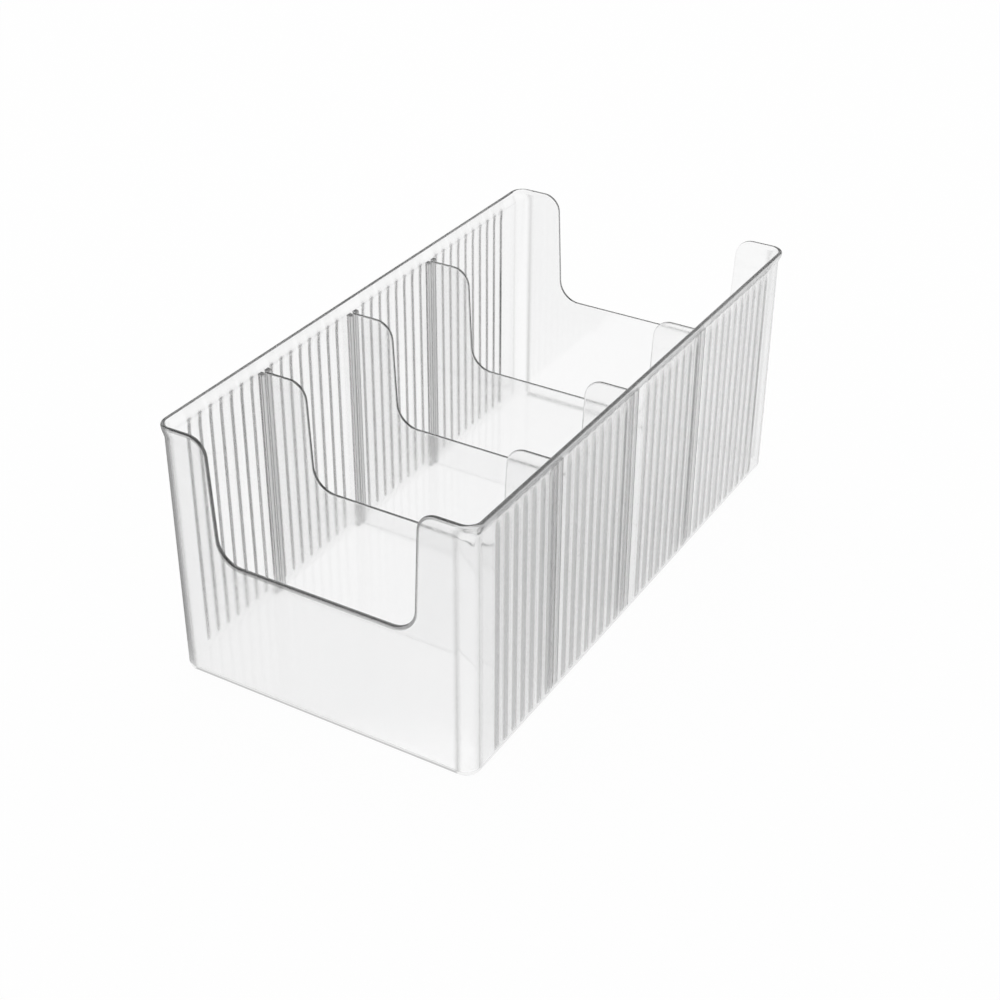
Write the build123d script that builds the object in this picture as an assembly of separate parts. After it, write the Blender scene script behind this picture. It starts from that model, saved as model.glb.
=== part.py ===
from build123d import *
import math
import os

# Clear storage bin with three loose dividers, in millimetres.
# X runs across the bin, Y along it with the front end at -Y, Z up from the table.

# The bin over all
bin_width = 160.0
bin_length = 309.0
bin_height = 128.6
wall = 2.0
corner_radius = 7.4
foot_inner_radius = 0.5

# The rim: just under it each long wall swings outwards in a soft flare, then stands upright again
rim_step = 1.6
rim_band = 1.2
flare_height = 5.8
flare_steps = 6
edge_round_share = 0.45

# The hand scoop in each end wall, repeated in every divider
scoop_shoulder_width = 27.0
scoop_side_lean = 2.7
scoop_floor_height = 68.0
scoop_corner_radius = 11.8
scoop_shoulder_radius = 9.5

# The dividers and the guide rails that hold them
divider_names = ("divider_front", "divider_middle", "divider_rear")
divider_pitch = 70.4
divider_middle_offset = -12.4
divider_thickness = 1.5
divider_drop = 6.1
divider_foot_radius = 2.0
divider_end_clearance = 0.4
slot_clearance = 0.3
rail_width = 2.8
rail_depth = 2.0
rail_edge_round = 0.5
rail_top_round = 1.2

# The upright ribs on the outside of the two long walls, left out behind the guide rails
rib_width = 4.2
rib_height = 0.85
rib_root = 0.5
rib_foot_gap = 0.4
rib_end_margin = 21.0
rib_count = 37
rib_top_share = 0.6

# How far a cutting or joining body runs past the faces that it meets
overrun = 5.0
# How near an edge lies to a face that it belongs to
touch = 0.001
mid_share = 0.5

# Sizes that follow from the ones above
wall_width = bin_width - 2 * rim_step
inner_half_width = wall_width / 2 - wall
foot_radius = foot_inner_radius + wall
band_z = bin_height - rim_band
flare_z = band_z - flare_height
divider_top = bin_height - divider_drop
rib_radius = (rib_width**2 / 4 + rib_height**2) / (2 * rib_height)
divider_places = [divider_middle_offset + step * divider_pitch for step in (-1, 0, 1)]


def scoop_half_width(z):
    """Half the scoop's width at height z, before its corners are rounded."""
    top_half_width = bin_width / 2 - scoop_shoulder_width
    down_share = (bin_height - z) / (bin_height - scoop_floor_height)
    return top_half_width - down_share * scoop_side_lean


def scoop_points(top):
    """The four corners of the scoop, from left to right, where the wall's top edge is at height top."""
    high = scoop_half_width(top)
    low = scoop_half_width(scoop_floor_height)
    return [
        (-high, top),
        (-low, scoop_floor_height),
        (low, scoop_floor_height),
        (high, top),
    ]


def rounded_outline(points, radii):
    """A face with the given corners, each rounded by its radius, or left sharp where that is zero."""
    face = make_face(Polyline(*points, close=True))
    for radius in sorted(set(radii) - {0}):
        places = [point for point, size in zip(points, radii) if size == radius]
        corners = face.vertices().filter_by(
            lambda v: min(math.dist((v.X, v.Y), place) for place in places) < touch
        )
        face = fillet(corners, radius)
    return face


def edges_at(part, z):
    """The level edges of a part at height z."""
    flat = part.edges().filter_by(lambda e: e.bounding_box().size.Z < touch)
    return flat.filter_by(lambda e: abs(e.center().Z - z) < touch)


def bin_outline(inset, lean):
    """The bin seen from above, drawn in by inset all round, its long sides moved outwards by lean."""
    width = wall_width + 2 * lean - 2 * inset
    return RectangleRounded(width, bin_length - 2 * inset, corner_radius - inset)


def flare_lean(share):
    """How far a long wall has swung outwards, at a share of the flare's height."""
    return rim_step * (1 - math.cos(math.pi * share)) / 2


def bin_block(inset, foot_round):
    """The bin's form as a solid, drawn in by inset and past its full height, with a rounded foot."""
    block = extrude(Pos(0, 0, inset) * bin_outline(inset, 0), amount=flare_z - inset)
    flare = []
    for step in range(flare_steps + 1):
        share = step / flare_steps
        z = flare_z + share * flare_height
        flare.append(Pos(0, 0, z) * bin_outline(inset, flare_lean(share)))
    block += loft(flare)
    band = Pos(0, 0, band_z) * bin_outline(inset, rim_step)
    block += extrude(band, amount=bin_height + overrun - band_z)
    return fillet(edges_at(block, inset), foot_round)


def rim_trim():
    """Everything above the rim line: the top edge of the walls with its dip at each end."""
    reach = bin_width / 2 + overrun
    above = bin_height + overrun + overrun
    points = [(-reach, above), (-reach, bin_height)]
    points += scoop_points(bin_height)
    points += [(reach, bin_height), (reach, above)]
    shoulder = scoop_shoulder_radius
    corner = scoop_corner_radius
    outline = rounded_outline(points, [0, 0, shoulder, corner, corner, shoulder, 0, 0])
    return extrude(Plane.XZ * outline, amount=bin_length / 2 + overrun, both=True)


def rim_edges(part, trim):
    """Both edges of the rim line, without the short ones that cross the thickness of an end wall."""
    on_line = part.edges().filter_by(lambda e: trim.distance_to(e @ mid_share) < touch)
    end_half_width = wall_width / 2 - corner_radius
    across = on_line.filter_by(Axis.Y).filter_by(lambda e: abs(e.center().X) < end_half_width)
    return on_line - across


def open_shell():
    """The bin's wall and floor, trimmed along the rim line and rounded over there."""
    shell = bin_block(0, foot_radius) - bin_block(wall, foot_inner_radius)
    trim = rim_trim()
    shell -= trim
    return fillet(rim_edges(shell, trim), wall * edge_round_share)


def rib():
    """One upright rib on the +X wall at Y zero: its foot is domed, and its top runs out in the flare."""
    low = foot_radius + rib_foot_gap + rib_width / 2
    high = flare_z + rib_top_share * flare_height
    axis = wall_width / 2 + rib_height - rib_radius
    bar = Pos(axis, 0, (low + high) / 2) * Cylinder(rib_radius, high - low)
    bar += Pos(axis, 0, low) * Sphere(rib_radius)
    depth = rib_root + rib_height
    outside = Box(depth, rib_width + overrun, bin_height)
    return bar & Pos(wall_width / 2 + rib_height - depth / 2, 0, bin_height / 2) * outside


def rib_places():
    """Where the ribs stand along the wall: evenly spread, without those that a guide rail would meet."""
    end = bin_length / 2 - rib_end_margin
    reach = divider_thickness / 2 + slot_clearance + rail_width + rib_width / 2
    step = 2 * end / (rib_count - 1)
    places = [index * step - end for index in range(rib_count)]
    return [place for place in places if min(abs(place - slot) for slot in divider_places) > reach]


def guide_rail():
    """One guide rail on the inside of the +X wall, its inner edges eased, centred on Y zero."""
    root = inner_half_width + wall / 2
    foot = wall / 2
    depth = rail_depth + wall / 2
    height = divider_top - foot
    rail = Pos(root - depth / 2, 0, foot + height / 2) * Box(depth, rail_width, height)
    inner = rail.faces().sort_by(Axis.X)[0]
    rail = fillet(inner.edges().filter_by(Axis.Z), rail_edge_round)
    top = rail.edges().filter_by(Axis.Y).group_by(Axis.Z)[-1].sort_by(Axis.X)[0]
    return fillet(top, rail_top_round)


def rail_places():
    """Where the rails stand along the wall: one on each side of every divider's slot."""
    half_slot = divider_thickness / 2 + slot_clearance
    from_middle = half_slot + rail_width / 2
    return [place + side * from_middle for place in divider_places for side in (-1, 1)]


def storage_bin():
    """The bin in one moulding: shell, outside ribs and inside guide rails."""
    one_rib = rib()
    one_rail = guide_rail()
    added = [Pos(0, place, 0) * one_rib for place in rib_places()]
    added += [Pos(0, place, 0) * one_rail for place in rail_places()]
    added += [mirror(piece, about=Plane.YZ) for piece in added]
    return open_shell() + added


def divider(place):
    """One divider panel standing on the floor in its slots, with the same scoop as the end walls."""
    half_width = inner_half_width - divider_end_clearance
    points = [(-half_width, wall), (-half_width, divider_top)]
    points += scoop_points(divider_top)
    points += [(half_width, divider_top), (half_width, wall)]
    foot = divider_foot_radius
    shoulder = scoop_shoulder_radius
    corner = scoop_corner_radius
    outline = rounded_outline(points, [foot, foot, shoulder, corner, corner, shoulder, foot, foot])
    panel = extrude(Plane.XZ * outline, amount=divider_thickness / 2, both=True)
    rims = panel.faces().filter_by(Axis.Y).edges()
    panel = fillet(rims, divider_thickness * edge_round_share)
    return Pos(0, place, 0) * panel


os.makedirs("parts", exist_ok=True)
export_step(storage_bin(), "parts/bin.step")
for name, place in zip(divider_names, divider_places):
    export_step(divider(place), f"parts/{name}.step")
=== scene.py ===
# %% [markdown]
# # A clear storage bin with three lift-out dividers
# The real bin is one injection moulding in clear plastic, and the dividers are loose plates of the
# same plastic. Clear plastic shows its own shape by bending light, so every facet of a coarse mesh
# would show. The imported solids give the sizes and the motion, and this file draws fine, smooth
# meshes in their place.

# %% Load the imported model
import math
import bpy
import numpy as np
from mathutils import Matrix, Vector


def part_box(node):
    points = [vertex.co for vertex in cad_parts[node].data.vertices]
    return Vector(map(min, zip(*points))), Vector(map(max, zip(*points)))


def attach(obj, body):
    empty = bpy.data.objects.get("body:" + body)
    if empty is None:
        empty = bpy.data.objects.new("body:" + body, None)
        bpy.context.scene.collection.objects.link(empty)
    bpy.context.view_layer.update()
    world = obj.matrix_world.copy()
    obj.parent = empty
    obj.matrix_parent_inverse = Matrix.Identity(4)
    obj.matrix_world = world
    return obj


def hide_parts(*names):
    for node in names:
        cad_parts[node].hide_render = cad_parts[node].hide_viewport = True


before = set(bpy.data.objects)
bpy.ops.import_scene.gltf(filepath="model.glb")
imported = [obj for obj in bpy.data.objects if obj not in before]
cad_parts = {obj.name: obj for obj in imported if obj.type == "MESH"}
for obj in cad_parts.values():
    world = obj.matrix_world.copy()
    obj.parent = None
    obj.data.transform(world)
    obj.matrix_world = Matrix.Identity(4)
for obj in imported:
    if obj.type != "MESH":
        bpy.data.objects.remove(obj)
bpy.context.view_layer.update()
scene = bpy.context.scene

# %% [markdown]
# ## Sizes
# Everything is in metres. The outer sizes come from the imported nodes. The sizes below them are
# those of the moulding: its wall, its foot, its rim and the hand scoop in each end. The long walls
# stand back from the rim by a small step, and the end walls are flush with it.

# %% Sizes of the bin
_, bin_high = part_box("bin")
rim_half_width = bin_high.x
half_length = bin_high.y
bin_height = bin_high.z
wall = 0.002
corner_radius = 0.0074
foot_radius = 0.0025
floor_fillet = 0.0005
rim_step = 0.0016
edge_round_share = 0.45
rim_round = edge_round_share * wall
half_width = rim_half_width - rim_step
print("bin", 2 * rim_half_width, 2 * half_length, bin_height)

# %% Sizes of the scoop
scoop_shoulder_width = 0.027
scoop_side_lean = 0.0027
scoop_floor = 0.068
scoop_corner_radius = 0.0118
scoop_shoulder_radius = 0.0095


def scoop_half_width(z):
    """Half the scoop's width at height z, before its corners are rounded."""
    down_share = (bin_height - z) / (bin_height - scoop_floor)
    return rim_half_width - scoop_shoulder_width - down_share * scoop_side_lean


print("scoop", 2 * scoop_half_width(bin_height), "wide at the rim")

# %% [markdown]
# ## A line with round corners
# The rim dips into a scoop at each end, and each divider has the same scoop. Both are straight
# runs joined by arcs. A short helper walks along such a line and keeps, for each point, the way it
# is heading, because the rounded edge of the plastic is built square to that.

# %% Walk round one corner
arc_step = math.radians(6)


def corner_arc(before, corner, after, radius):
    """The points of one rounded corner and the direction of travel at each."""
    into = (corner - before) / np.linalg.norm(corner - before)
    onward = (after - corner) / np.linalg.norm(after - corner)
    turn = math.atan2(into[0] * onward[1] - into[1] * onward[0], float(into @ onward))
    side = math.copysign(1, turn)
    start = corner - into * radius * math.tan(abs(turn) / 2)
    centre = start + side * radius * np.array([-into[1], into[0]])
    points, ways = [], []
    steps = math.ceil(abs(turn) / arc_step)
    for angle in np.linspace(0, turn, steps + 1):
        way = np.array([
            into[0] * math.cos(angle) - into[1] * math.sin(angle),
            into[0] * math.sin(angle) + into[1] * math.cos(angle),
        ])
        points.append(centre - side * radius * np.array([-way[1], way[0]]))
        ways.append(way)
    return points, ways


# %% Walk along a whole line
def rounded_line(corners, radii):
    """Points and directions along a line. The first and last corners only set its ends."""
    corners = [np.array(corner, float) for corner in corners]
    points, ways = [], []
    for index, radius in enumerate(radii):
        arc = corner_arc(corners[index], corners[index + 1], corners[index + 2], radius)
        points += arc[0]
        ways += arc[1]
    return np.array(points), np.array(ways)


# %% [markdown]
# ## The flare
# Just under the rim each long wall swings outwards in a soft S, which stiffens its edge and makes a
# lip for the fingers. Half a wave of a cosine has that shape: it starts upright and ends upright.
# The end walls have no flare, so the lean is a push to the side only.

# %% The lean of a long wall at any height
rim_band = 0.0012
flare_height = 0.0058
flare_head = bin_height - rim_band
flare_foot = flare_head - flare_height


def flare_lean(z):
    """How far a long wall has moved outwards at height z."""
    share = np.clip((z - flare_foot) / (flare_head - flare_foot), 0, 1)
    return rim_step * (1 - np.cos(math.pi * share)) / 2


print("flare", flare_lean(np.linspace(flare_foot, flare_head, 5)))

# %% [markdown]
# ## Ribs and guide rails
# Upright ribs stiffen the outside of both long walls. Inside, two rails on each long wall leave a
# slot between them for the edge of a divider. Both could be separate bars, but on the real bin they
# are part of the moulding. So the wall's own grid of points is pushed out where a rib stands and
# pushed in where a rail stands, which leaves no seam in the clear plastic.

# %% Places of the dividers and their rails
divider_names = sorted(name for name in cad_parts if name.startswith("divider"))
divider_boxes = {name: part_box(name) for name in divider_names}
divider_places = sorted((low.y + high.y) / 2 for low, high in divider_boxes.values())
divider_thickness = divider_boxes["divider_middle"][1].y - divider_boxes["divider_middle"][0].y
divider_top = divider_boxes["divider_middle"][1].z
slot_clearance = 0.0003
rail_width = 0.0028
rail_depth = 0.002
rail_edge_round = 0.0005
rail_top_round = 0.0012
rail_offset = divider_thickness / 2 + slot_clearance + rail_width / 2
rail_places = [place + side * rail_offset for place in divider_places for side in (-1, 1)]
print("dividers at", np.round(divider_places, 4), "and", len(rail_places), "rails on each wall")


# %% Distance to the nearest of some places
def nearest(values, places):
    """The distance from each value to the nearest place."""
    return np.abs(np.asarray(values)[:, None] - np.asarray(places)[None, :]).min(axis=1)


# %% Places of the ribs
rib_count = 37
rib_end_margin = 0.021
rib_width = 0.0042
rib_end = half_length - rib_end_margin
rib_grid = np.linspace(-rib_end, rib_end, rib_count)
rib_clear = rail_offset + rail_width / 2 + rib_width / 2
rib_places = rib_grid[nearest(rib_grid, divider_places) > rib_clear]
print(len(rib_places), "ribs on each long wall, left out behind the rails")


# %% How far a rib stands out
rib_height = 0.00085
rib_root_width = 0.0064
rib_low = foot_radius + rib_root_width / 2
fade_below_flare, fade_into_flare = 0.0065, 0.004
rib_high = flare_foot - fade_below_flare
rib_gone = flare_foot + fade_into_flare


def rib_rise(along, z):
    """How far the ribs push the wall out: a soft wave with a domed foot that runs out on top."""
    from_rib = np.hypot(nearest(along, rib_places), np.maximum(rib_low - z, 0))
    share = np.minimum(2 * from_rib / rib_root_width, 1)
    run_out = np.clip((z - rib_high) / (rib_gone - rib_high), 0, 1)
    return rib_height * (1 + np.cos(math.pi * share)) / 2 * (1 + np.cos(math.pi * run_out)) / 2


# %% How far a rail stands out
def eased_shoulder(distance, radius):
    """Depth of a rail at a distance in from its side, where the edge is rounded by the radius."""
    over = np.clip(radius - distance, 0, radius)
    full = rail_depth - radius + np.sqrt(radius**2 - over**2)
    return np.where(distance < 0, 0, full)


def rail_rise(along, z):
    """How far the rails push the inner face in."""
    from_side = rail_width / 2 - nearest(along, rail_places)
    return np.minimum(
        eased_shoulder(from_side, rail_edge_round),
        eased_shoulder(divider_top - z, rail_top_round),
    )


# %% [markdown]
# ## Columns round the wall
# The wall is drawn as a fence of upright columns, all the way round. A column knows where it
# stands, how high the rim line is there, which way is outwards and which way the flare pushes it.
# On the end walls the rim line dips into the scoop, so columns there are shorter. The side of a
# rail is square to the wall, so two columns stand there a hair apart. A few more columns stand next
# to each corner, where a soft line of painted shade is drawn later.

# %% Where columns stand along a long wall
rib_columns = np.linspace(-1, 1, 11)
rail_edge_columns = 1 - np.cos(np.linspace(0, math.pi / 2, 6))
shade_line_steps = np.array([0.0007, 0.0014, 0.0024])
hair = 0.00001


def long_wall_stations():
    """Places along a long wall, close together wherever a rib or a rail changes the section."""
    reach = half_length - corner_radius
    stations = [-reach, reach, *(shade_line_steps - reach), *(reach - shade_line_steps)]
    for place in rib_places:
        stations += list(place + rib_columns * rib_root_width / 2)
    from_side = np.concatenate([[-2 * hair, 0], rail_edge_columns * rail_edge_round])
    for place in rail_places:
        for side in (-1, 1):
            stations += list(place + side * (rail_width / 2 - from_side))
    return np.unique(np.round(stations, 7))


print(len(long_wall_stations()), "columns on a long wall")


# %% The long walls
def long_wall(side):
    """Columns of the right wall (side 1, front to back) or left wall (side -1, back to front)."""
    along = long_wall_stations()[::side]
    count = len(along)
    return {
        "foot": np.column_stack([np.full(count, side * half_width), along]),
        "out": np.tile([side, 0.0], (count, 1)),
        "push": np.tile([side, 0.0], (count, 1)),
        "rim": np.full(count, bin_height),
        "into": np.tile([0.0, 0.0, -1.0], (count, 1)),
        "along": along,
    }


# %% The end walls
def end_wall(side):
    """Columns of the front wall (side -1, left to right) or back wall (side 1, right to left)."""
    reach = half_width - corner_radius
    high = scoop_half_width(bin_height)
    low = scoop_half_width(scoop_floor)
    corners = [(-reach, bin_height), (-high, bin_height), (-low, scoop_floor)]
    corners += [(low, scoop_floor), (high, bin_height), (reach, bin_height)]
    shoulder, corner = scoop_shoulder_radius, scoop_corner_radius
    line, ways = rounded_line(corners, [shoulder, corner, corner, shoulder])
    shade_line_spots = np.column_stack([reach - shade_line_steps, np.full(len(shade_line_steps), bin_height)])
    level = np.tile([1.0, 0.0], (len(shade_line_spots), 1))
    line = np.concatenate([shade_line_spots * [-1, 1], line, shade_line_spots[::-1]])
    ways = np.concatenate([level, ways, level])
    count = len(line)
    return {
        "foot": np.column_stack([-side * line[:, 0], np.full(count, side * half_length)]),
        "out": np.tile([0.0, side], (count, 1)),
        "push": np.zeros((count, 2)),
        "rim": line[:, 1],
        "into": np.column_stack([-side * ways[:, 1], np.zeros(count), -ways[:, 0]]),
        "along": np.full(count, np.inf),
    }


# %% The upright corners
corner_starts = {(1, -1): -90, (1, 1): 0, (-1, 1): 90, (-1, -1): 180}
corner_columns = 16


def wall_corner(side_x, side_y):
    """Columns of one rounded upright corner, in the order in which the walls meet there."""
    start = corner_starts[(side_x, side_y)]
    turns = np.radians(np.linspace(start, start + 90, corner_columns))
    middle = [half_width - corner_radius, half_length - corner_radius]
    centre = np.array([side_x, side_y]) * middle
    out = np.column_stack([np.cos(turns), np.sin(turns)])
    count = len(turns)
    return {
        "foot": centre + corner_radius * out,
        "out": out,
        "push": np.tile([side_x, 0.0], (count, 1)),
        "rim": np.full(count, bin_height),
        "into": np.tile([0.0, 0.0, -1.0], (count, 1)),
        "along": np.full(count, np.inf),
    }


# %% Join them into one ring
def ring_of_columns():
    """All columns in one ring, anticlockwise from the left end of the front wall."""
    walls = [
        end_wall(-1), wall_corner(1, -1), long_wall(1), wall_corner(1, 1),
        end_wall(1), wall_corner(-1, 1), long_wall(-1), wall_corner(-1, -1),
    ]
    ring = {key: np.concatenate([part[key] for part in walls]) for key in walls[0]}
    after = np.roll(ring["foot"], -1, axis=0)
    fresh = np.linalg.norm(after - ring["foot"], axis=1) > hair / 2
    return {key: values[fresh] for key, values in ring.items()}


columns = ring_of_columns()
print(len(columns["rim"]), "columns in the ring")

# %% [markdown]
# ## Rows of the section
# Each column carries the same section: under the foot, up the outside, over the rounded rim, down
# the inside and out on the floor. Rows lie close together where the section bends, and far apart
# where it is straight.

# %% Heights of the rows
floor_height = wall
wall_top = bin_height - rim_round
quarter = np.linspace(0, math.pi / 2, 8)
flare_rows = np.append(np.linspace(flare_foot, flare_head, 13), wall_top)
dome_rows = np.linspace(foot_radius, rib_low, 9)
run_out_rows = np.linspace(rib_high, flare_foot, 8)


def outer_rows():
    """Heights up the outside: the domed foot of the ribs, where they run out, then the flare."""
    return np.unique(np.round([*dome_rows, *run_out_rows, *flare_rows], 7))


def inner_rows():
    """Heights down the inside: the flare, then the rounded tops of the rails."""
    top = divider_top - rail_top_round * (1 - np.cos(quarter))
    rows = [floor_height + floor_fillet, bin_height / 2, *top, divider_top + 2 * hair, *flare_rows]
    return np.unique(np.round(rows, 7))[::-1]


print(len(outer_rows()), "rows outside and", len(inner_rows()), "inside")


# %% Turn rows and columns into points
def settle(flat, z, inset, inside):
    """Points of one row: drawn in by inset, then pushed by the flare and the ribs or the rails."""
    lean, along = flare_lean(z), columns["along"]
    push = lean - rail_rise(along, z) if inside else lean + rib_rise(along, z)
    spot = flat - columns["out"] * inset + columns["push"] * push[:, None]
    return np.column_stack([spot, z])


def wall_row(z, start, inset, inside):
    """One row on the upright part of the wall, at its share of each column's own height."""
    share = (z - start) / (wall_top - start)
    flat = columns["foot"] + columns["into"][:, :2] * rim_round * share
    edge_z = columns["rim"] + columns["into"][:, 2] * rim_round
    return settle(flat, start + (edge_z - start) * share, inset, inside)


def rim_row(below, inset):
    """One row over the rounded rim."""
    flat = columns["foot"] + columns["into"][:, :2] * below
    z = columns["rim"] + columns["into"][:, 2] * below
    spot = flat - columns["out"] * inset + columns["push"] * flare_lean(z)[:, None]
    return np.column_stack([spot, z])


def level_row(z, inset, inside=False):
    """One row at a fixed height, for the foot and the floor."""
    return settle(columns["foot"], np.full(len(columns["rim"]), z), inset, inside)


# %% All rows of the bin, from under the foot to the floor inside
def bin_rows():
    """Every row of the bin's section, in order."""
    edge = list(zip(1 - np.sin(quarter), 1 - np.cos(quarter)))
    rows = [level_row(foot_radius * drop, foot_radius * inset) for drop, inset in edge[::-1]]
    rows += [wall_row(z, foot_radius, 0, False) for z in outer_rows()[1:]]
    rows += [rim_row(rim_round * drop, rim_round * inset) for drop, inset in edge[1:]]
    rows += [rim_row(rim_round * drop, wall - rim_round * inset) for drop, inset in edge[::-1]]
    start = floor_height + floor_fillet
    rows += [wall_row(z, start, wall, True) for z in inner_rows()[1:]]
    for angle in quarter[1::2]:
        inset = wall + floor_fillet * (1 - math.cos(angle))
        rows.append(level_row(start - floor_fillet * math.sin(angle), inset, True))
    return np.array(rows)


print("bin rows and columns", bin_rows().shape)


# %% [markdown]
# ## Meshes
# A grid of rows becomes a mesh of four-sided faces, closed by one flat face at each end. Smooth
# shading with weighted normals keeps the flat panels flat, since there the large faces decide.

# %% A closed skin from rows of points
crease = math.radians(40)


def skin(name, rows):
    """A closed mesh object from rings of points, each end filled by one face."""
    ring_count, count = rows.shape[:2]
    faces = [list(range(count))[::-1]]
    for ring in range(ring_count - 1):
        base = ring * count
        for index in range(count):
            beside = (index + 1) % count
            faces.append([base + index, base + beside, base + count + beside, base + count + index])
    faces.append([(ring_count - 1) * count + index for index in range(count)])
    mesh = bpy.data.meshes.new(name)
    mesh.from_pydata(rows.reshape(-1, 3).tolist(), [], faces)
    mesh.shade_smooth()
    mesh.set_sharp_from_angle(angle=crease)
    piece = bpy.data.objects.new(name, mesh)
    scene.collection.objects.link(piece)
    normals = piece.modifiers.new("flat panels stay flat", "WEIGHTED_NORMAL")
    normals.keep_sharp = True
    print(name, len(mesh.vertices), "points", len(mesh.polygons), "faces")
    return piece


# %% The bin
clear_bin = skin("clear_bin", bin_rows())
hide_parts("bin")
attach(clear_bin, "bin")

# %% [markdown]
# ## Where shade is painted on the plastic
# The rounded rim, the guide rails and the foot of each end are the darkest places of such a bin,
# because light that enters there runs on inside the wall and is lost. Ray tracing finds only part
# of that, so the rest is painted on as a grey tint, a painted shade. A test of position in the
# material could say where, but here the rows and columns are known, so each point of the mesh
# stores how much shade is painted there. The rows that border a large flat face stay clear,
# because the painted shade would spread over that whole face.


# %% Store a share at the points
def mark(piece, layer_name, share):
    """Keep a number from 0 to 1 at each point of a piece."""
    layer = piece.data.attributes.new(layer_name, "FLOAT", "POINT")
    layer.data.foreach_set("value", share.ravel().astype(np.float32))
    print(piece.name, layer_name, "at", np.count_nonzero(share), "points")


# %% Which rows and columns are rim, end, scoop, rail and rib
rim_start = len(quarter) + len(outer_rows()) - 2
rim_end = rim_start + 2 * len(quarter)
at_end = 1 - np.abs(columns["push"][:, 0])
in_scoop = (bin_height - columns["rim"]) / (bin_height - scoop_floor)
on_rail = rail_rise(columns["along"], bin_height / 2) > 0
on_rib = rib_rise(columns["along"], bin_height / 2) > 0
print("rim rows", rim_start, "to", rim_end, "in", np.count_nonzero(at_end), "columns of the ends")

# %% [markdown]
# ## Which rims are dark
# In the photograph the rims of the front and right walls are dark, and those of the left and back
# walls are almost white. All four are rounded alike, so a lamp can't tell them apart. Instead, the
# tint is full on the walls that face the camera, and it fades to nothing round the corners.

# %% Walls that face the camera
# Painted shade on the rims: full on the walls that face the camera, fading to nothing round the
# corners.
photo_side = np.array([0.5, -0.86])
near_side = np.clip(0.5 + columns["out"] @ photo_side, 0, 1)
print(np.count_nonzero(near_side == 1), "columns face the camera")

# %% [markdown]
# ## Lines beside the corners
# Where a flat wall runs into its rounded corner, the photograph shows a soft upright line that is
# stronger towards the foot. A small step in the wall could make it, but that would bend the light
# along a hard edge. A stripe of the same grey tint, on the columns around that place, stays soft.

# %% The soft line of painted shade where a wall runs into its corner
# Painted shade: a soft dark stripe beside each corner, darker towards the foot.
corner_shade_width = 0.0012
corner_shade_top_share = 0.6
end_corner_shade, long_corner_shade = 0.85, 0.42


def corner_shade_share(x, y):
    """1 on the columns at (x, y) and its mirror images, and softly less beside them."""
    away = np.linalg.norm(np.abs(columns["foot"]) - [x, y], axis=1)
    return np.where(away < 2 * corner_shade_width, np.exp(-((away / corner_shade_width) ** 2)), 0)


corner_shade = np.maximum(
    end_corner_shade * corner_shade_share(half_width - corner_radius, half_length),
    long_corner_shade * corner_shade_share(half_width, half_length - corner_radius),
)
print(np.count_nonzero(corner_shade), "columns beside the corners")

# %% Paint shade on the foot of the ends, the corners, the rim and the rails
band_rows = 4
long_rim_shade, rail_shade = 0.45, 0.5
heights = bin_rows()[:, :, 2]
inside = slice(rim_end + 1, -1)
on_wall = slice(len(quarter), rim_start)
rail_points = on_rail & (heights <= divider_top)
# Painted shade: each point holds how much grey tint stands in for the light lost there.
dark = np.zeros_like(heights)
dark[1:len(quarter)] = at_end
dark[on_wall] = corner_shade * (1 - (1 - corner_shade_top_share) * heights[on_wall] / bin_height)
long_rim = long_rim_shade * (1 - at_end)
dark[rim_start - band_rows:rim_start] = near_side * np.maximum(in_scoop, long_rim)
dark[rim_start - 1:rim_end + 1] = near_side * np.maximum(at_end, long_rim_shade)
dark[rim_end + 1:rim_end + band_rows] = near_side * in_scoop
dark[inside] = np.maximum(dark, rail_shade * rail_points)[inside]
mark(clear_bin, "painted_shade_share", dark)

# %% [markdown]
# ## Where the plastic is matt
# Ribs and rails come from narrow slots in the mould, which are hard to polish. So they are less
# smooth than the walls and show as soft grey bands. A second material could do that, but its border
# would be sharp. A second number at each point fades from one to the other.

# %% Mark the ribs and the rails
rib_matt = 0.6
matt_points = np.zeros_like(heights)
matt_points[on_wall] = rib_matt * on_rib
matt_points[inside] = rail_points[inside]
mark(clear_bin, "slot_matt", matt_points)

# %% [markdown]
# ## Dividers
# A divider is a flat plate with the scoop cut in its top edge and all its edges rounded over. The
# outline is walked once, and the plate is a stack of that outline, drawn in at each face.

# %% One divider plate
divider_foot_radius = 0.002
divider_round = edge_round_share * divider_thickness


def divider_rows(low, high):
    """Rings through the thickness of one divider."""
    top, foot = high.z, low.z
    wide, narrow = scoop_half_width(top), scoop_half_width(scoop_floor)
    corners = [(low.x, foot), (low.x, top), (-wide, top), (-narrow, scoop_floor)]
    corners += [(narrow, scoop_floor), (wide, top), (high.x, top), (high.x, foot)]
    small, shoulder, corner = divider_foot_radius, scoop_shoulder_radius, scoop_corner_radius
    radii = [small, small, shoulder, corner, corner, shoulder, small, small]
    line, ways = rounded_line([corners[-1], *corners, corners[0]], radii)
    inward = np.column_stack([ways[:, 1], -ways[:, 0]])
    middle = (low.y + high.y) / 2
    flat = divider_thickness / 2 - divider_round
    front = -flat - divider_round * np.cos(quarter), divider_round * (1 - np.sin(quarter))
    back = flat + divider_round * np.sin(quarter), divider_round * (1 - np.cos(quarter))
    rows = []
    for across, inset in zip(*np.concatenate([front, back], axis=1)):
        edge = line + inward * inset
        rows.append(np.column_stack([edge[:, 0], np.full(len(edge), middle + across), edge[:, 1]]))
    return np.array(rows)


# %% Where shade is painted on a divider
def scoop_edge(rows):
    """1 on the rounded edge along the scoop, without its right side, hardly seen in the photo."""
    x, z = rows[:, :, 0], rows[:, :, 2]
    low, high = scoop_floor + scoop_corner_radius, divider_top - scoop_shoulder_radius / 2
    right_side = (x > 0) & (z > low) & (z < high)
    share = np.where((z > scoop_floor - divider_round) & ~right_side, 1.0, 0.0)
    share[[0, -1]] = 0
    return share


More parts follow.
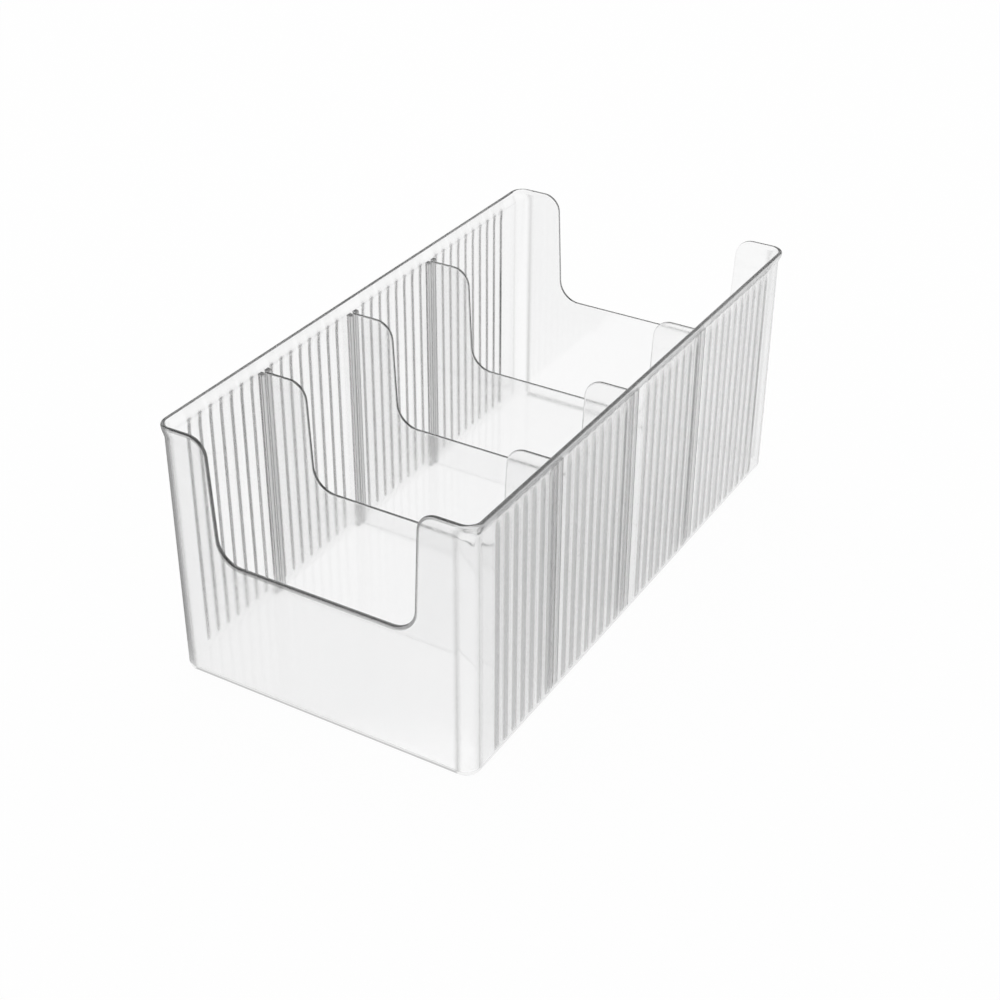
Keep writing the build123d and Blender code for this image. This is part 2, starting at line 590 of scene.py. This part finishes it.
# %% The three dividers
# Each divider gets painted shade on the rounded edge along its scoop.
divider_shade = 0.6
dividers = []
for name in divider_names:
    rows = divider_rows(*divider_boxes[name])
    plate = skin("clear_" + name, rows)
    mark(plate, "painted_shade_share", divider_shade * scoop_edge(rows))
    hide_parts(name)
    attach(plate, name)
    dividers.append(plate)

# %% [markdown]
# ## Marks of moulding
# Moulded plastic is never quite even. It shows slow flow marks where the melt ran, and a very fine
# haze from handling. Painted maps could hold that, but noise in the object's own space needs no
# unwrapping and keeps its scale. Bin and dividers share the effect, so it is a node group with its
# own inputs, and each material sets its own scale.

# %% A node group for flow marks and haze
marks = bpy.data.node_groups.new("moulding_marks", "ShaderNodeTree")
for socket in ("Flow Scale", "Haze Scale"):
    marks.interface.new_socket(socket, in_out="INPUT", socket_type="NodeSocketFloat")
marks.interface.new_socket("Colour", in_out="OUTPUT", socket_type="NodeSocketColor")
marks.interface.new_socket("Roughness", in_out="OUTPUT", socket_type="NodeSocketFloat")
marks.interface.new_socket("Height", in_out="OUTPUT", socket_type="NodeSocketFloat")
marks_in = marks.nodes.new("NodeGroupInput")
marks_out = marks.nodes.new("NodeGroupOutput")
print("group", marks.name, [item.name for item in marks.interface.items_tree])

# %% Noise for the flow and for the haze
own_space = marks.nodes.new("ShaderNodeTexCoord")
stretch = marks.nodes.new("ShaderNodeMapping")
stretch.inputs["Scale"].default_value = (1.0, 1.0, 0.35)
flow = marks.nodes.new("ShaderNodeTexNoise")
flow.inputs["Detail"].default_value = 2.0
haze = marks.nodes.new("ShaderNodeTexNoise")
haze.inputs["Detail"].default_value = 4.0
marks.links.new(own_space.outputs["Object"], stretch.inputs["Vector"])
marks.links.new(stretch.outputs["Vector"], flow.inputs["Vector"])
marks.links.new(own_space.outputs["Object"], haze.inputs["Vector"])
marks.links.new(marks_in.outputs["Flow Scale"], flow.inputs["Scale"])
marks.links.new(marks_in.outputs["Haze Scale"], haze.inputs["Scale"])

# %% What the noise changes
clear_tint = marks.nodes.new("ShaderNodeMix")
clear_tint.data_type = "RGBA"
clear_tint.inputs["A"].default_value = (0.995, 0.995, 0.995, 1)
clear_tint.inputs["B"].default_value = (0.98, 0.981, 0.982, 1)
haze_range = marks.nodes.new("ShaderNodeMapRange")
haze_range.inputs["From Min"].default_value = 0.35
haze_range.inputs["From Max"].default_value = 0.7
haze_range.inputs["To Min"].default_value = 0.05
haze_range.inputs["To Max"].default_value = 0.09
marks.links.new(flow.outputs["Fac"], clear_tint.inputs["Factor"])
marks.links.new(haze.outputs["Fac"], haze_range.inputs["Value"])
marks.links.new(clear_tint.outputs["Result"], marks_out.inputs["Colour"])
marks.links.new(haze_range.outputs["Result"], marks_out.inputs["Roughness"])
marks.links.new(flow.outputs["Fac"], marks_out.inputs["Height"])
print("noise nodes", len(marks.nodes))

# %% [markdown]
# ## Clear plastic
# The plastic is colourless, but a long way through it is grey, which is why a rim looks much darker
# than a wall. Glass alone would not show that, so the volume takes up a little light as well. The
# points that were marked get a grey tint of painted shade, and those that were marked matt a
# rougher skin. The bend of the light is that of a clear styrene plastic.


# %% From a plain value to that of a marked point
def by_mark(tree, layer_name, kind, plain, full):
    """Go from a plain socket to a full value, as far as each point of the mesh is marked."""
    layer = tree.nodes.new("ShaderNodeAttribute")
    layer.attribute_name = layer_name
    mix = tree.nodes.new("ShaderNodeMix")
    mix.data_type = kind
    mix.inputs["B"].default_value = full
    tree.links.new(layer.outputs["Fac"], mix.inputs["Factor"])
    tree.links.new(plain, mix.inputs["A"])
    return mix.outputs["Result"]


# %% A clear plastic for one kind of piece
painted_shade_grey = (0.35, 0.35, 0.35, 1)
depth_grey = (0.5, 0.5, 0.5, 1)
slot_roughness = 0.35


def clear_plastic(name, flow_scale, haze_scale, density):
    """Glass-like plastic: marks of moulding, painted shade where marked, a little grey in its
    depth.
    """
    material = bpy.data.materials.new(name)
    material.use_nodes = True
    tree = material.node_tree
    group = tree.nodes.new("ShaderNodeGroup")
    group.node_tree = marks
    group.inputs["Flow Scale"].default_value = flow_scale
    group.inputs["Haze Scale"].default_value = haze_scale
    wave = tree.nodes.new("ShaderNodeBump")
    wave.inputs["Strength"].default_value = 0.1
    wave.inputs["Distance"].default_value = 0.001
    tree.links.new(group.outputs["Height"], wave.inputs["Height"])
    plastic = tree.nodes["Principled BSDF"]
    plastic.inputs["Transmission Weight"].default_value = 1.0
    plastic.inputs["IOR"].default_value = 1.57
    # Painted shade: the marked points get a grey tint.
    colour = by_mark(tree, "painted_shade_share", "RGBA", group.outputs["Colour"], painted_shade_grey)
    roughness = by_mark(tree, "slot_matt", "FLOAT", group.outputs["Roughness"], slot_roughness)
    tree.links.new(colour, plastic.inputs["Base Color"])
    tree.links.new(roughness, plastic.inputs["Roughness"])
    tree.links.new(wave.outputs["Normal"], plastic.inputs["Normal"])
    depth = tree.nodes.new("ShaderNodeVolumeAbsorption")
    depth.inputs["Color"].default_value = depth_grey
    depth.inputs["Density"].default_value = density
    tree.links.new(depth.outputs["Volume"], tree.nodes["Material Output"].inputs["Volume"])
    print(name, len(tree.nodes), "nodes")
    return material


# %% Finish the bin and the dividers
bin_plastic = clear_plastic("clear_bin_plastic", flow_scale=16.0, haze_scale=240.0, density=24.0)
clear_bin.data.materials.append(bin_plastic)
divider_plastic = clear_plastic(
    "clear_divider_plastic", flow_scale=22.0, haze_scale=300.0, density=16.0
)
for plate in dividers:
    plate.data.materials.append(divider_plastic)

# %% [markdown]
# ## The floor
# A photographer lights clear plastic by what stands round it. What is seen straight through it is
# white, and what its ribs and edges mirror is darker, so that they draw themselves as grey lines.
# The floor does both, because Light Path tells whether a ray was mirrored on its way. A ray that
# only passed through the plastic meets white. A mirrored ray meets a floor that is white under the
# bin, a little grey in front, greyer on the right and darkest on the left, as if grey card lay
# there, and that grows lighter towards the back. A small share of the floor stays matt, so the
# bin's own shadow is on it.

# %% The floor plane
bpy.ops.mesh.primitive_plane_add(size=8)
studio_floor = bpy.context.object
studio_floor.name = "studio_floor"
floor_paint = bpy.data.materials.new("studio_floor_paint")
floor_paint.use_nodes = True
studio_floor.data.materials.append(floor_paint)
floor_nodes, floor_links = floor_paint.node_tree.nodes, floor_paint.node_tree.links
floor_nodes.clear()


def floor_math(operation, first, second):
    """A math node on the floor, fed by sockets or plain numbers."""
    node = floor_nodes.new("ShaderNodeMath")
    node.operation = operation
    for socket, value in zip(node.inputs, (first, second)):
        if isinstance(value, (int, float)):
            socket.default_value = value
        else:
            floor_links.new(value, socket)
    return node.outputs[0]


# %% How far a place on the floor is from the bin
place = floor_nodes.new("ShaderNodeNewGeometry")
axes = floor_nodes.new("ShaderNodeSeparateXYZ")
floor_links.new(place.outputs["Position"], axes.inputs["Vector"])
beside = floor_math("SUBTRACT", floor_math("ABSOLUTE", axes.outputs["X"], 0.0), half_width)
before = floor_math("SUBTRACT", floor_math("ABSOLUTE", axes.outputs["Y"], 0.0), half_length)
from_bin = floor_math("MAXIMUM", beside, before)


# %% A soft step on the floor
def floor_step(value, start, end, first, last):
    """A soft step on the floor, from one level to another."""
    node = floor_nodes.new("ShaderNodeMapRange")
    node.interpolation_type = "SMOOTHSTEP"
    node.inputs["From Min"].default_value = start
    node.inputs["From Max"].default_value = end
    node.inputs["To Min"].default_value = first
    node.inputs["To Max"].default_value = last
    floor_links.new(value, node.inputs["Value"])
    return node.outputs["Result"]


# %% How bright the floor is in a reflection
left_grey, right_grey = 0.66, 0.38
front_share, back_share = 0.6, 0.25
side_blend, front_blend, back_reach, foot_blend = 0.03, 0.01, 0.05, 0.002
left, front, back_end = -half_width, -half_length, half_length + back_reach
floor_x, floor_y = axes.outputs["X"], axes.outputs["Y"]
across = floor_step(floor_x, left - side_blend, left + side_blend, left_grey, right_grey)
in_front = floor_step(floor_y, front - front_blend, front + front_blend, front_share, 1.0)
behind = floor_step(floor_y, 0.0, back_end, 1.0, back_share)
outside = floor_step(from_bin, -foot_blend, foot_blend, 0.0, 1.0)
along = floor_math("MULTIPLY", in_front, behind)
shade = floor_math("MULTIPLY", floor_math("MULTIPLY", outside, across), along)
rays = floor_nodes.new("ShaderNodeLightPath")
mirrored = floor_math("MINIMUM", rays.outputs["Glossy Depth"], 1.0)
level = floor_math("SUBTRACT", 1.0, floor_math("MULTIPLY", mirrored, shade))

# %% White to the eye, matt for the shadow
white = floor_nodes.new("ShaderNodeEmission")
floor_links.new(level, white.inputs["Strength"])
matt = floor_nodes.new("ShaderNodeBsdfDiffuse")
matt.inputs["Color"].default_value = (0.9, 0.9, 0.9, 1)
white_share = 0.975
through = floor_math("MAXIMUM", rays.outputs["Is Glossy Ray"], rays.outputs["Is Transmission Ray"])
to_camera = floor_math("MULTIPLY", rays.outputs["Is Camera Ray"], white_share)
seen = floor_nodes.new("ShaderNodeMixShader")
floor_links.new(floor_math("MAXIMUM", through, to_camera), seen.inputs["Fac"])
floor_links.new(matt.outputs["BSDF"], seen.inputs[1])
floor_links.new(white.outputs["Emission"], seen.inputs[2])
floor_out = floor_nodes.new("ShaderNodeOutputMaterial")
floor_links.new(seen.outputs["Shader"], floor_out.inputs["Surface"])
print("floor nodes", len(floor_nodes))

# %% [markdown]
# ## The room and the lamp
# The room is white near the horizon and dim overhead, so the rounded rims, which look upwards, turn
# dark. One large soft lamp hangs high over the bin, a little behind it on the left. It lights the
# matt share of the floor, and the bin keeps a faint shadow on the near side.

# %% A room that is dim overhead
room = bpy.data.worlds.new("studio_room")
room.use_nodes = True
scene.world = room
room_nodes, room_links = room.node_tree.nodes, room.node_tree.links
direction = room_nodes.new("ShaderNodeTexCoord")
split = room_nodes.new("ShaderNodeSeparateXYZ")
height_ramp = room_nodes.new("ShaderNodeValToRGB")
height_ramp.color_ramp.elements[0].position = 0.55
height_ramp.color_ramp.elements[0].color = (1, 1, 1, 1)
height_ramp.color_ramp.elements[1].position = 0.75
height_ramp.color_ramp.elements[1].color = (0.2, 0.2, 0.2, 1)
room_links.new(direction.outputs["Generated"], split.inputs["Vector"])
room_links.new(split.outputs["Z"], height_ramp.inputs["Fac"])
room_links.new(height_ramp.outputs["Color"], room_nodes["Background"].inputs["Color"])
print("room", room.name)

# %% One soft lamp
softbox = bpy.data.lights.new("softbox", "AREA")
softbox.shape = "DISK"
softbox.size = 1.6
softbox.energy = 10.0
lamp = bpy.data.objects.new("softbox", softbox)
lamp.location = (-0.35, 0.45, 1.5)
lamp.rotation_euler = (-lamp.location).to_track_quat("-Z", "Y").to_euler()
scene.collection.objects.link(lamp)
print("lamp at", tuple(round(value, 2) for value in lamp.location))

# %% [markdown]
# ## Camera and picture
# The photograph was taken from the front right, a good thirty degrees above the floor, with a long
# lens. The angles and the distance were found by fitting the bin's outline and its rim to the
# photograph. Clear plastic needs many bounces, since one ray may cross a dozen faces.

# %% The camera
lens = bpy.data.cameras.new("camera")
lens.sensor_width = 36.0
lens.lens = 63.075
camera = bpy.data.objects.new("camera", lens)
scene.collection.objects.link(camera)
scene.camera = camera
camera_distance = 0.875419
looked_at = Vector((-0.000315, 0.001502, 0.03204))
azimuth, elevation, roll = (math.radians(angle) for angle in (30.386, 32.264, 0.35))
flat_back = Vector((math.sin(azimuth), -math.cos(azimuth), 0))
back = flat_back * math.cos(elevation) + Vector((0, 0, math.sin(elevation)))
level_right = Vector((math.cos(azimuth), math.sin(azimuth), 0))
upright = Matrix((level_right, back.cross(level_right), back)).transposed()
turned = upright @ Matrix.Rotation(roll, 3, "Z")
camera.matrix_world = Matrix.Translation(looked_at + back * camera_distance) @ turned.to_4x4()
print("camera at", tuple(round(value, 3) for value in camera.matrix_world.translation))

# %% Bounces and colour
scene.view_settings.view_transform = "Standard"
scene.cycles.max_bounces = 32
scene.cycles.transmission_bounces = 32
scene.cycles.glossy_bounces = 24
print("up to", scene.cycles.max_bounces, "bounces")
